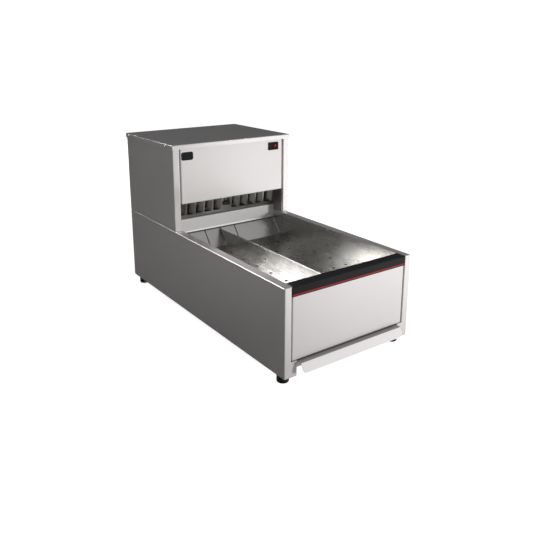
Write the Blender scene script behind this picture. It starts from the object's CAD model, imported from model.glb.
import bmesh
import bpy
import numpy as np
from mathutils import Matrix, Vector


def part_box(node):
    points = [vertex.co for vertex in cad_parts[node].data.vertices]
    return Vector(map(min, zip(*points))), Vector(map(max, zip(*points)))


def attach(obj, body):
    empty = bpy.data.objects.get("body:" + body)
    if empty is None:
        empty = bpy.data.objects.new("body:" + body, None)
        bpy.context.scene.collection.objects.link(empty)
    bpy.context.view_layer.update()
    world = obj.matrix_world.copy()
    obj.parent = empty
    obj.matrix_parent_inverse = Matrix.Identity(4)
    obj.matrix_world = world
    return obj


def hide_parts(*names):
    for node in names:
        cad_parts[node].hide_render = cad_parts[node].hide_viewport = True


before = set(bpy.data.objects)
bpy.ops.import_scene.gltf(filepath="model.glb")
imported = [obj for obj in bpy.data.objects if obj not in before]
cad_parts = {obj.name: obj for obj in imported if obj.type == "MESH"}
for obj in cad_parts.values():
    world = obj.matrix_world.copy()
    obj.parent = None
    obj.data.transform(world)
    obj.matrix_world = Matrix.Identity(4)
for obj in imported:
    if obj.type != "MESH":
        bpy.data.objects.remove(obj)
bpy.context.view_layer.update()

# The studio's camera, above the front left corner of the warmer, at the photograph's viewing angle.
# The lens is a normal one, and its slight shift keeps the upright edges nearly parallel.
picture_width = 533
focal_pixels, shift_pixels = 613.45, -58.5
film_width, view_reach = 36.0, 60.0
camera_place, camera_way = (-0.85763, -1.2633, 0.68183), Vector((0.558547, 0.789105, -0.255615))
camera_data = bpy.data.cameras.new("studio_camera")
camera_data.sensor_width = film_width
camera_data.lens = focal_pixels / picture_width * film_width
camera_data.shift_y = shift_pixels / picture_width
camera_data.clip_end = view_reach
camera = bpy.data.objects.new("studio_camera", camera_data)
camera.location = camera_place
camera.rotation_euler = camera_way.to_track_quat("-Z", "Y").to_euler()
bpy.context.scene.collection.objects.link(camera)
bpy.context.scene.camera = camera
bpy.context.scene.view_settings.view_transform = "Standard"


# White surroundings, seen by the camera and in metal and glass, with a softer light on everything else.
# Soft boxes stand in front, overhead and behind. Two small lights over the bin stand in for the light
# that its polished walls throw back: one at the tower, one at the front end of the divider.
class Socket:
    """One output of a shader node; arithmetic on it adds Math nodes to the same tree."""

    def __init__(self, shader, link):
        self.shader, self.link = shader, link

    def math(self, operation, *terms):
        return self.shader.node("ShaderNodeMath", {"operation": operation}, dict(enumerate(terms)))

    def __add__(self, other):
        return self.math("ADD", self, other)

    def __sub__(self, other):
        return self.math("SUBTRACT", self, other)

    def __rsub__(self, other):
        return self.math("SUBTRACT", other, self)

    def __mul__(self, other):
        return self.math("MULTIPLY", self, other)

    __radd__ = __add__
    __rmul__ = __mul__

    def most(self, other):
        return self.math("MAXIMUM", self, other)

    def ease(self, low, high):
        """Smooth step from 0 at low to 1 at high."""
        return self.shader.node("ShaderNodeMapRange", {"interpolation_type": "SMOOTHSTEP"},
                                {"Value": self, "From Min": low, "From Max": high})


class Shader:
    """The node tree of one finish, or of the studio's surroundings."""

    def __init__(self, owner):
        owner.use_nodes = True
        self.owner, self.tree = owner, owner.node_tree
        self.tree.nodes.clear()

    def node(self, kind, settings, inputs, out=0):
        """Adds a node: its settings first, then a value or a link for each named socket."""
        made = self.tree.nodes.new(kind)
        for name, value in settings.items():
            if name == "stops":
                ramp = made.color_ramp
                while len(ramp.elements) < len(value):
                    ramp.elements.new(1.0)
                for element, (place, colour) in zip(ramp.elements, value):
                    element.position = place
                    element.color = (*colour, 1.0)
            else:
                setattr(made, name, value)
        for name, value in inputs.items():
            if isinstance(value, Socket):
                self.tree.links.new(value.link, made.inputs[name])
            else:
                made.inputs[name].default_value = value
        return Socket(self, made.outputs[out]) if made.outputs else None

    def place(self):
        return self.node("ShaderNodeTexCoord", {}, {}, "Object")

    def along(self, axis, place=None):
        """One coordinate, X, Y or Z, of the place on the object or of another place."""
        return self.node("ShaderNodeSeparateXYZ", {}, {"Vector": place or self.place()}, axis)

    def noise(self, scales, detail=2.0, rough=0.5):
        """Noise whose pattern is multiplied along each axis by the three scales."""
        stretched = self.node("ShaderNodeVectorMath", {"operation": "MULTIPLY"}, {0: self.place(), 1: scales})
        return self.node("ShaderNodeTexNoise", {}, {"Vector": stretched, "Scale": 1.0,
                                                    "Detail": detail, "Roughness": rough})

    def blend(self, share, dark, light):
        """Colour between dark and light by a share from 0 to 1."""
        dark, light = (tone if isinstance(tone, Socket) else (*tone, 1.0) for tone in (dark, light))
        return self.node("ShaderNodeMix", {"data_type": "RGBA"}, {0: share, 6: dark, 7: light}, 2)

    def bumps(self, height, distance, strength):
        return self.node("ShaderNodeBump", {}, {"Strength": strength, "Distance": distance, "Height": height})

    def surface(self, inputs):
        """Ends the tree in one principled surface."""
        shade = self.node("ShaderNodeBsdfPrincipled", {}, inputs)
        self.node("ShaderNodeOutputMaterial", {}, {"Surface": shade})
        return self.owner


def path_ray(shader, *kinds):
    """1 for the kinds of ray that are named, such as the camera's own, and 0 for the others."""
    found = shader.node("ShaderNodeLightPath", {}, {}, kinds[0])
    for kind in kinds[1:]:
        found = found.most(shader.node("ShaderNodeLightPath", {}, {}, kind))
    return found


ambient = 0.14
surroundings = Shader(bpy.data.worlds.new("studio_white"))
bpy.context.scene.world = surroundings.owner
seen = path_ray(surroundings, "Is Camera Ray", "Is Glossy Ray", "Is Transmission Ray")
white = surroundings.node("ShaderNodeBackground", {},
                          {"Color": (1.0, 1.0, 1.0, 1.0), "Strength": seen * (1.0 - ambient) + ambient})
surroundings.node("ShaderNodeOutputWorld", {}, {"Surface": white})


def soft_box(name, place, aim, size, power):
    """A square lamp of even light at a place, turned to its aim, that metal doesn't mirror."""
    lamp = bpy.data.lights.new(name, "AREA")
    lamp.shape, lamp.size, lamp.energy = "SQUARE", size, power
    box = bpy.data.objects.new(name, lamp)
    box.location = place
    box.rotation_euler = (Vector(aim) - Vector(place)).to_track_quat("-Z", "Y").to_euler()
    box.visible_glossy = False
    bpy.context.scene.collection.objects.link(box)


soft_box("front_soft_box", place=(1.9, -3.05, 0.75), aim=(0.0, 0.0, 0.3), size=0.5, power=98.0)
soft_box("bin_fill_light", place=(-0.085, -0.12, 0.26), aim=(-0.10, 0.10, 0.25), size=0.12, power=0.1)
soft_box("bin_side_light", place=(-0.145, -0.24, 0.235), aim=(-0.03, -0.24, 0.18), size=0.07, power=0.17)
soft_box("rear_soft_box", place=(0.0, 3.2, 0.35), aim=(0.0, 0.37, 0.25), size=1.2, power=45.0)
soft_box("overhead_soft_box", place=(-0.2, -0.5, 2.6), aim=(0.0, -0.1, 0.2), size=1.6, power=4.0)


# The studio floor: a flat pale sheet that the warmer stands on.
# To the camera it glows almost white, so that only a faint shadow shows on it.
floor_reach, floor_drop, floor_lines = 9.0, 0.0005, 7
floor_glow, floor_seen_grey, floor_grey = 0.935, (0.55, 0.55, 0.55, 1.0), (0.75, 0.75, 0.75, 1.0)


def grid_mesh(name, points, closed_u=False, closed_v=False):
    """Mesh of quads over grids of points by rows u and columns v, joined round where closed, one grid per copy."""
    copies = points.reshape(-1, *points.shape[-3:])
    rows, columns = copies.shape[1:3]
    index = np.arange(rows * columns).reshape(rows, columns)
    if closed_u:
        index = np.vstack([index, index[:1]])
    if closed_v:
        index = np.hstack([index, index[:, :1]])
    quads = np.stack([index[:-1, :-1], index[1:, :-1], index[1:, 1:], index[:-1, 1:]], -1).reshape(-1, 4)
    quads = (quads + rows * columns * np.arange(len(copies))[:, None, None]).reshape(-1, 4)
    mesh = bpy.data.meshes.new(name)
    mesh.from_pydata(points.reshape(-1, 3), [], quads)
    mesh.shade_smooth()
    piece = bpy.data.objects.new(name, mesh)
    bpy.context.scene.collection.objects.link(piece)
    return piece


across = np.linspace(-floor_reach, floor_reach, floor_lines)
floor_x, floor_y = np.meshgrid(across, across, indexing="ij")
studio_floor = grid_mesh("studio_floor", np.stack([floor_x, floor_y, 0 * floor_x - floor_drop], -1))
pale = Shader(bpy.data.materials.new("studio_floor_white"))
glow = pale.node("ShaderNodeEmission", {}, {"Color": (1.0, 1.0, 1.0, 1.0), "Strength": floor_glow})
seen_sheet = pale.node("ShaderNodeBsdfDiffuse", {}, {"Color": floor_seen_grey})
seen_floor = pale.node("ShaderNodeAddShader", {}, {0: glow, 1: seen_sheet})
lit_floor = pale.node("ShaderNodeBsdfDiffuse", {}, {"Color": floor_grey})
pale_floor = pale.node("ShaderNodeMixShader", {}, {0: path_ray(pale, "Is Camera Ray"), 1: lit_floor, 2: seen_floor})
pale.node("ShaderNodeOutputMaterial", {}, {"Surface": pale_floor})
studio_floor.data.materials.append(pale.owner)
studio_floor.visible_glossy = False


# Cloth screens all round the set, which only metal and gloss mirror: white at the right and front right,
# grey elsewhere, with a bright window high at the rear left. Azimuths are in degrees from the warmer's
# right towards its rear, and heights are shares of the screens' radius.
screen_radius = 4.0
first_azimuth = -30.0
brightest = 14.0


def ball(radius, low, high):
    """Points of a sphere about the origin between two heights in degrees: r(cos u cos v, sin u cos v, sin v)."""
    turn, rise = np.meshgrid(np.radians(np.arange(0.0, 360.0, 6.0)), np.radians(np.linspace(low, high, 36)),
                             indexing="ij")
    return radius * np.stack([np.cos(turn) * np.cos(rise), np.sin(turn) * np.cos(rise), np.sin(rise)], -1)


screens = grid_mesh("cloth_screens", ball(screen_radius, low=-88.0, high=80.0), closed_u=True)
cloth = Shader(bpy.data.materials.new("screen_cloth"))
turned_place = cloth.node("ShaderNodeVectorRotate", {"rotation_type": "Z_AXIS"},
                          {"Vector": cloth.place(), "Angle": np.radians(-180.0 - first_azimuth)})
ahead, aside = cloth.along("X", turned_place), cloth.along("Y", turned_place)
round_set = aside.math("ARCTAN2", aside, ahead) * (0.5 / np.pi) + 0.5
height_share = cloth.along("Z") * (1.0 / screen_radius)


def cloth_tones(*stops):
    """Grey of the cloth round the set: pairs of the azimuth in degrees and the tone there."""
    return cloth.node("ShaderNodeValToRGB", {"stops": [((azimuth - first_azimuth) / 360.0, (tone / brightest,) * 3)
                                                       for azimuth, tone in stops]}, {"Fac": round_set})


lower = cloth_tones((-30, 1.1), (26, 1.2), (44, 0.13), (60, 0.1), (114, 0.10), (122, 0.18), (130, 0.25),
                    (236, 0.26), (288, 0.42), (296, 0.62), (306, 1.9), (314, 1.5))
upper = cloth_tones((-30, 0.42), (0, 0.3), (22, 0.14), (56, 0.1), (82, 0.1), (98, 0.2), (165, 0.2), (182, 0.2),
                    (215, 0.16), (240, 0.2), (265, 0.36), (292, 0.42), (330, 0.42))
window = cloth_tones((-30, 0.7), (0, 0.35), (30, 0.1), (117, 0.2), (123, 13.0), (152, 13.0), (160, 0.2), (235, 0.1),
                     (270, 0.5), (300, 0.7), (330, 0.7))
top = cloth_tones((-30, 0.5), (0, 0.3), (60, 0.2), (96, 0.3), (101, 0.9), (122, 0.9), (130, 0.3), (235, 0.1),
                  (270, 0.4), (330, 0.5))
tones = cloth.blend(height_share.ease(0.03, 0.14), lower, upper)
tones = cloth.blend(height_share.ease(0.22, 0.30), tones, window)
tones = cloth.blend(height_share.ease(0.52, 0.60), tones, top)
fade = height_share.ease(-0.50, -0.22) * 0.8 + 0.2
cloth_glow = cloth.node("ShaderNodeEmission", {}, {"Color": tones, "Strength": fade * brightest})
cloth.node("ShaderNodeOutputMaterial", {}, {"Surface": cloth_glow})
screens.data.materials.append(cloth.owner)
for flag in ("visible_camera", "visible_diffuse", "visible_transmission", "visible_shadow"):
    setattr(screens, flag, False)


# Folded side panels of the base and the tower: satin stainless sheet with the mill's lengthwise grain.
# Each is bent from one blank, with its front post and flanges, and the brushed face is left out.
steel_grey = (0.752, 0.724, 0.716)


def dress(material, *names):
    """Gives the CAD nodes of these names the finish."""
    for name in names:
        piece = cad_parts[name]
        if not piece.material_slots:
            piece.data.materials.append(material)
        for place in piece.material_slots:
            place.material = material


def shades(colour, darker, lighter):
    """The darker and lighter shades of a colour, kept within white."""
    return [part * darker for part in colour], [min(1.0, part * lighter) for part in colour]


def brushed(name, colour, grain, rough=0.3, metal=1.0, top=None):
    """Brushed sheet: streaks along the grain axis, with wider bands and the haze of handling.

    Where top gives two heights and a second metal value, the sheet above them is polished brighter.
    """
    sheet = Shader(bpy.data.materials.new(name))
    if top:
        satin_end, bright_start, polished_metal = top
        metal = sheet.along("Z").ease(satin_end, bright_start) * (polished_metal - metal) + metal
    fine = sheet.noise([6.0 if axis == grain else 1700.0 for axis in "xyz"], detail=3.0, rough=0.6)
    band = sheet.noise([1.5 if axis == grain else 90.0 for axis in "xyz"])
    haze = sheet.noise((7.0, 7.0, 7.0), detail=3.0)
    tone = (fine - 0.5) * 0.1 + (band - 0.5) * 0.05 + 0.5
    return sheet.surface({
        "Base Color": sheet.blend(tone, *shades(colour, darker=0.86, lighter=1.14)),
        "Metallic": metal,
        "Roughness": (fine - 0.5) * 0.12 + (haze - 0.5) * 0.06 + rough,
        "Normal": sheet.bumps(fine, distance=0.00002, strength=0.2)})


side_steel = brushed("side_steel", steel_grey, grain="y", rough=0.17, metal=0.45)
dress(side_steel, "base_left_side", "base_right_side", "tower_left_side", "tower_right_side")


# Rear panels, bottom pan, tray rails and air ducts: zinc-coated sheet with the spangle of its coat.
# They are cut flat or folded once, and are screwed or riveted behind the stainless panels.
zinc = Shader(bpy.data.materials.new("zinc_sheet"))
crystals = zinc.node("ShaderNodeTexVoronoi", {}, {"Vector": zinc.place(), "Scale": 85.0}, "Color")
spangle = zinc.node("ShaderNodeSeparateColor", {}, {"Color": crystals})
zinc_cloud = zinc.noise((9.0, 9.0, 9.0), detail=4.0)
zinc_sheet = zinc.surface({
    "Base Color": zinc.blend(spangle * 0.35 + zinc_cloud * 0.5, (0.36, 0.375, 0.385), (0.58, 0.595, 0.6)),
    "Metallic": 0.6,
    "Roughness": spangle * 0.14 + 0.36,
    "Normal": zinc.bumps(zinc_cloud, distance=0.0002, strength=0.15)})
dress(zinc_sheet, "base_floor", "base_rear_panel", "tower_rear_panel", "tray_rail_left", "tray_rail_right",
      "plenum_top", "return_duct", "blower_deck", "blower_scroll")


# Front panels and lid: the same stainless sheet, folded into shallow pans, its grain across the cabinet.
# The lid's top is polished, and its skirt overhangs the tower and is screwed to it at the sides.
front_steel = brushed("front_steel", steel_grey, grain="x", rough=0.32, metal=0.45)
dress(front_steel, "base_front_panel", "tower_front_panel")
lid_top, lid_edge, lid_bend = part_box("tower_lid")[1][2], 0.003, 0.001
lid_steel = brushed("lid_steel", steel_grey, grain="x", rough=0.18, metal=0.4,
                    top=(lid_top - lid_edge, lid_top - lid_bend, 0.95))
dress(lid_steel, "tower_lid")


# Black strip over the top front edge, and the small plain plate on the tower's front panel.
# Both are sheet with a satin black coat, and a red line is printed along the strip.
def coated(name, dark, light, rough, grit=900.0, depth=0.00003, shine=0.3):
    """Painted or moulded surface with a fine grain, a little lighter on its peaks."""
    skin = Shader(bpy.data.materials.new(name))
    grain = skin.noise((grit, grit, grit))
    wear = skin.noise((25.0, 25.0, 25.0), detail=4.0)
    return skin.surface({
        "Base Color": skin.blend(grain * 0.4 + wear * 0.6, dark, light),
        "Roughness": (wear - 0.5) * 0.16 + rough,
        "Specular IOR Level": shine,
        "Normal": skin.bumps(grain, distance=depth, strength=0.4)})


strip_black = coated("strip_black", (0.008, 0.008, 0.009), (0.014, 0.014, 0.016), rough=0.3, shine=0.14)
dress(strip_black, "front_trim_strip", "blank_badge")
line_red = coated("line_red", (0.31, 0.011, 0.015), (0.39, 0.018, 0.023), rough=0.35)
dress(line_red, "trim_pinstripe")


# Bin: liner, lift-out floor and lift-out divider, folded from bright stainless that scoops have scratched.
# The divider's front end is worn matt. The throat's walls are dull from the heat, and the apron below the
# air outlet is satin, its grain across the bin.
def scuffed(name, colour, grain, rough, metal, worn=None):
    """Brushed sheet with short scratches that cross its grain at random.

    Where worn gives two places along y and a second metal value, the sheet ahead of them is worn matt.
    """
    sheet = Shader(bpy.data.materials.new(name))
    if worn:
        worn_end, bright_start, worn_metal = worn
        metal = sheet.along("Y").ease(worn_end, bright_start) * (metal - worn_metal) + worn_metal
    fine = sheet.noise([8.0 if axis == grain else 1500.0 for axis in "xyz"], detail=3.0, rough=0.6)
    cloud = sheet.noise((10.0, 10.0, 10.0), detail=3.0)
    turned_sheet = sheet.node("ShaderNodeMapping", {}, {"Vector": sheet.place(), "Rotation": (0.2, 0.1, 0.9),
                                                        "Scale": (40.0, 2600.0, 400.0)})
    scratches = sheet.node("ShaderNodeTexNoise", {}, {"Vector": turned_sheet, "Scale": 1.0, "Detail": 1.0})
    scratch = scratches.ease(0.66, 0.74)
    tone = (fine - 0.5) * 0.1 + (cloud - 0.5) * 0.3 + scratch * 0.25 + 0.45
    return sheet.surface({
        "Base Color": sheet.blend(tone, *shades(colour, darker=0.86, lighter=1.12)),
        "Metallic": metal,
        "Roughness": (fine - 0.5) * 0.1 + (cloud - 0.5) * 0.12 + scratch * 0.12 + rough,
        "Normal": sheet.bumps(fine + scratch, distance=0.00002, strength=0.3)})


bin_steel = scuffed("bin_steel", (0.60, 0.59, 0.57), grain="y", rough=0.27, metal=0.97)
dress(bin_steel, "bin_liner", "bin_floor")
divider_steel = scuffed("divider_steel", (0.7, 0.685, 0.67), grain="y", rough=0.27, metal=0.97,
                        worn=(-0.11, -0.06, 0.5))
dress(divider_steel, "bin_divider")
throat_steel = scuffed("throat_steel", (0.34, 0.33, 0.32), grain="z", rough=0.5, metal=0.9)
dress(throat_steel, "throat_left", "throat_right")
apron_steel = scuffed("apron_steel", (0.745, 0.725, 0.715), grain="x", rough=0.5, metal=0.4)
dress(apron_steel, "rear_apron")


# Rolled hem along the apron's lower edge: the sheet is curled forward on itself, so the edge can't cut.
# It is one roll as long as the apron, closed at its ends, and catches the light as a thin bright line.
hem_radius, hem_forward, hem_drop = 0.0019, 0.0008, 0.0022
hem_low, hem_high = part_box("rear_apron")
hem_run = np.pad(np.linspace(hem_low[0], hem_high[0], 9), 1, "edge")
hem_swell = np.pad(np.ones(9), 1)
hem_turn = np.radians(np.arange(0.0, 360.0, 20.0))


def rolled(run, swell, turn, radius, y, z):
    """Teardrop swept along x: (x, y - r s sin t, z + r s (cos t + 0.7 max(cos t, 0)^2)), s = 0 at the ends."""
    size = radius * swell[:, None]
    lift = np.cos(turn) + 0.7 * np.maximum(np.cos(turn), 0.0) ** 2
    return np.stack([run[:, None] + 0 * turn, y - size * np.sin(turn), z + size * lift], -1)


def weld(piece):
    """Joins the points that meet at a pole or an end, and turns every face outward."""
    shell = bmesh.new()
    shell.from_mesh(piece.data)
    bmesh.ops.remove_doubles(shell, verts=shell.verts, dist=1e-7)
    bmesh.ops.recalc_face_normals(shell, faces=shell.faces)
    shell.to_mesh(piece.data)
    shell.free()


apron_hem = grid_mesh("apron_hem", rolled(hem_run, hem_swell, hem_turn, hem_radius, hem_low[1] + hem_forward,
                                          hem_low[2] - hem_drop), closed_v=True)
weld(apron_hem)
apron_hem.data.materials.append(brushed("hem_steel", (0.93, 0.92, 0.9), grain="x", rough=0.45, metal=0.2))
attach(apron_hem, "cabinet")


# Rims of the floor's air holes: each hole is drawn upward, so a low smooth lip stands round it.
# The lip keeps crumbs off the hole and shows as a bright ring, and the wall of the hole is sooty.
# The tables are in millimetres: the holes' columns and rows, and the reach and height of the lip's outline.
mm_per_metre = 1000
hole_columns = np.array([-129.0, -89.0, -49.0, 17.0, 57.0, 97.0, 137.0]) / mm_per_metre
hole_rows = np.array([-320.5, -260.5, -200.5, -140.5, -80.5, -20.5, 39.5]) / mm_per_metre
lip_outline = np.array([(5.2, -0.3), (5.1, 0.02), (4.7, 0.35), (4.3, 0.6), (3.95, 0.66), (3.65, 0.5), (2.9, 0.22),
                        (2.35, 0.05), (2.35, -1.15)]) / mm_per_metre
sooty_rings = 5
floor_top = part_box("bin_floor")[1][2]


def turned(outline, centres, ahead, aside, up, steps):
    """Surface of revolution at each centre: c + r(v) (cos u ahead + sin u aside) + h(v) up."""
    turn = np.linspace(0.0, 2.0 * np.pi, steps, endpoint=False)[:, None, None]
    reach, height = outline[None, :, 0, None], outline[None, :, 1, None]
    form = reach * (np.cos(turn) * np.array(ahead) + np.sin(turn) * np.array(aside)) + height * np.array(up)
    return np.asarray(centres)[:, None, None, :] + form


hole_x, hole_y = np.meshgrid(hole_columns, hole_rows, indexing="ij")
hole_places = np.stack([hole_x, hole_y, 0 * hole_x + floor_top], -1).reshape(-1, 3)
lips = turned(lip_outline, hole_places, ahead=(1, 0, 0), aside=(0, 1, 0), up=(0, 0, 1), steps=18)
hole_rims = grid_mesh("floor_hole_rims", lips, closed_u=True, closed_v=True)
hole_soot = coated("hole_soot", (0.01, 0.009, 0.008), (0.03, 0.027, 0.024), rough=0.6, shine=0.2)
hole_rims.data.materials.append(bin_steel)
hole_rims.data.materials.append(hole_soot)
ring = np.arange(len(hole_rims.data.polygons)) % len(lip_outline)
hole_rims.data.polygons.foreach_set("material_index", (ring >= len(lip_outline) - sooty_rings).astype(np.int32))
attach(hole_rims, "floor_plate")


# Weld beads in the two rear corners of the bin, where the leaning wall meets the side walls.
# Each is a run of overlapping ripples along the corner, brushed over and so a little brighter than the sheet.
# The wall's half width, its foot along y and its slope are the liner's.
bead_radius, bead_pitch, bead_length, bead_start = 0.0008, 0.0017, 0.05, 0.004
wall_half, wall_foot, wall_slope = 0.1598, 0.1070, 0.8


def bead(foot, along, out, radius, pitch, length):
    """Rippled rod: foot + s along + r(s) (cos u x + sin u out), r = radius (1 + 0.14 cos(2 pi s / pitch)) to 0."""
    run = np.linspace(0.0, length, 181)[:, None, None]
    turn = np.radians(np.arange(0.0, 360.0, 30.0))[None, :, None]
    taper = np.sqrt(np.clip(np.minimum(run, length - run) / (2.0 * radius), 0.0, 1.0))
    size = radius * taper * (1.0 + 0.14 * np.cos(2.0 * np.pi * run / pitch))
    return foot + run * along + size * (np.cos(turn) * np.array([1.0, 0.0, 0.0]) + np.sin(turn) * out)


slant = np.sqrt(1.0 + wall_slope ** 2)
up_corner, off_corner = np.array([0.0, wall_slope, 1.0]) / slant, np.array([0.0, 1.0, -wall_slope]) / slant
bead_feet = [np.array([side * wall_half, wall_foot + wall_slope * bead_start, floor_top + bead_start])
             for side in (-1, 1)]
beads = [bead(foot, up_corner, off_corner, bead_radius, bead_pitch, bead_length) for foot in bead_feet]
corner_welds = grid_mesh("bin_corner_welds", np.stack(beads), closed_v=True)
weld(corner_welds)
corner_welds.data.materials.append(brushed("weld_steel", (0.8, 0.785, 0.77), grain="z", rough=0.4, metal=0.4))
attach(corner_welds, "cabinet")


# Crumb tray: a shallow folded stainless pan that slides on side rails, its bent front lip as the handle.
# The flat ledge behind the lip, where fingers reach in, is dull and darker than the rest.
tray = Shader(bpy.data.materials.new("tray_steel"))
tray_grain = tray.noise((6.0, 1500.0, 1500.0), detail=3.0, rough=0.6)
tray_haze = tray.noise((12.0, 12.0, 12.0), detail=3.0)
lip_height, ledge_start, ledge_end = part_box("crumb_tray")[1][2], 0.0012, 0.0002
ledge = tray.along("Z").ease(lip_height - ledge_start, lip_height - ledge_end)
tray_tone = (tray_grain - 0.5) * 0.12 + (tray_haze - 0.5) * 0.12 + 0.5
bright_tray = tray.blend(tray_tone, (0.84, 0.815, 0.805), (0.97, 0.945, 0.935))
tray_steel = tray.surface({
    "Base Color": tray.blend(ledge, bright_tray, (0.3, 0.295, 0.29)),
    "Metallic": 0.3,
    "Roughness": (tray_grain - 0.5) * 0.1 + 0.34,
    "Normal": tray.bumps(tray_grain, distance=0.00001, strength=0.15)})
dress(tray_steel, "crumb_tray")


# Air grille: a stainless plate that leans forward in the outlet, its grain upright.
# Each window is lanced, and the window's own metal is bent back as a turning vane.
vane_steel = brushed("vane_steel", (0.62, 0.61, 0.59), grain="z")
dress(vane_steel, "air_grille")


# Black mouldings with a fine texture: switch housing and rocker, cord gland, thermostat and terminal
# block. The grille's spring latch is a dull grey-black, because dust and warm air have faded it.
moulding_grit = 1400.0
moulded_black = coated("moulded_black", (0.004, 0.004, 0.0045), (0.010, 0.010, 0.011), rough=0.38,
                       grit=moulding_grit, shine=0.2)
dress(moulded_black, "switch_body", "switch_rocker", "cord_gland", "gland_nut", "thermostat", "terminal_block")
latch_grey = coated("latch_grey", (0.016, 0.016, 0.016), (0.035, 0.035, 0.035), rough=0.5, grit=moulding_grit)
dress(latch_grey, "grille_latch")


# Switch lens: a clear red moulding let into the rocker.
# The small lamp sits behind its right part, so its left part stays dark.
tinted = Shader(bpy.data.materials.new("lens_red"))
lens_low, lens_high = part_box("switch_lens")
dark_end, lit_end = 0.001, 0.003
lamp_side = tinted.along("X").ease(lens_low[0] + dark_end, lens_high[0] - lit_end)
ripple = tinted.noise((500.0, 500.0, 500.0))
lens_red = tinted.surface({
    "Base Color": tinted.blend(lamp_side * 0.9 + ripple * 0.1, (0.02, 0.002, 0.002), (0.38, 0.008, 0.012)),
    "Roughness": ripple * 0.1 + 0.16,
    "Specular IOR Level": 0.4,
    "Normal": tinted.bumps(ripple, distance=0.00004, strength=0.3)})
dress(lens_red, "switch_lens")


# Screws, nuts and motor shaft: turned or rolled steel with a bright zinc plate.
# They hold the feet, the lid, the rear panels and the motor.
plated = brushed("plated_steel", (0.62, 0.62, 0.61), grain="z")
dress(plated, "foot_screws", "foot_nuts", "lid_screws", "rear_screws", "motor_screws", "motor_shaft")


# Heads of the sheet screws: pressed button heads with a cross recess, two on each side of the lid
# and five down each edge of the rear. They stand in for the plain heads of the same screws.
head_radius, head_height, recess_depth = 0.0039, 0.0018, 0.0012
arm_half_share, arm_reach_share, flat_share = 0.15, 0.53, 0.9
head_steps = 40
head_reach = head_radius * np.array([0, 0.38, 0.38, 1, 1, 0.97, 0.88, 0.74, 0.62, 0.56, 0.5, 0.42, 0.33, 0.24, 0.16,
                                     0.08, 0])
head_rise = head_height * np.array([-4.4, -4.4, 0, 0, 0.35, 0.6, 0.82, 0.94, 0.98, 0.99, 1, 1, 1, 1, 1, 1, 1])
lid_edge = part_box("lid_screws")[1][0] - head_height
lid_screw_rows, lid_screw_level = (0.1319, 0.3592), 0.4382
rear_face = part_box("rear_screws")[1][1] - head_height
rear_screw_column, rear_screw_levels = 0.1725, (0.042, 0.1985, 0.2425, 0.334, 0.407)


def screw_heads(name, node, centres, ahead, aside, up):
    """Screws: a turned shank and dome, whose top sinks where the point lies within either arm of a cross."""
    heads = turned(np.stack([head_reach, head_rise], -1), centres, ahead, aside, up, head_steps)
    turn = np.linspace(0.0, 2.0 * np.pi, head_steps, endpoint=False)[:, None]
    along, over = np.abs(head_reach * np.cos(turn)), np.abs(head_reach * np.sin(turn))
    on_arm = np.minimum(along, over) < arm_half_share * head_radius
    within_reach = np.maximum(along, over) < arm_reach_share * head_radius
    sunk = np.where(on_arm & within_reach & (head_rise > flat_share * head_height), recess_depth, 0.0)
    piece = grid_mesh(name, heads - sunk[None, :, :, None] * np.array(up), closed_u=True)
    weld(piece)
    piece.data.materials.append(plated)
    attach(piece, "cabinet")
    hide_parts(node)


for hand, side in (("left", -1), ("right", 1)):
    lid_places = [(side * lid_edge, y, lid_screw_level) for y in lid_screw_rows]
    screw_heads("lid_screw_heads_" + hand, "lid_screws", lid_places, (0, side, 0), (0, 0, 1), (side, 0, 0))
rear_places = [(side * rear_screw_column, rear_face, z) for side in (-1, 1) for z in rear_screw_levels]
screw_heads("rear_screw_heads", "rear_screws", rear_places, (-1, 0, 0), (0, 0, 1), (0, 1, 0))


# Blower wheel and limit disc: bare pressed aluminium. The motor has a black enamel coat, and the heater
# and the thermostat's probe have a steel sheath that the heat has dulled.
wheel_metal = brushed("wheel_metal", (0.72, 0.73, 0.74), grain="z", rough=0.4)
dress(wheel_metal, "blower_wheel", "high_limit")
motor_black = coated("motor_black", (0.02, 0.02, 0.022), (0.04, 0.04, 0.043), rough=0.45, grit=500.0)
dress(motor_black, "blower_motor")
sheath = brushed("heater_sheath", (0.3, 0.27, 0.24), grain="z", rough=0.5)
dress(sheath, "heater_element", "heater_collars", "thermostat_probe")


# Rubber feet: moulded black rubber with a fine matt grain.
# A screw through each one holds it to the side panels' bottom flanges.
foot_rubber = coated("foot_rubber", (0.006, 0.006, 0.006), (0.014, 0.014, 0.014), rough=0.62, grit=700.0,
                     depth=0.0001)
dress(foot_rubber, "foot_front_left", "foot_front_right", "foot_rear_left", "foot_rear_right")
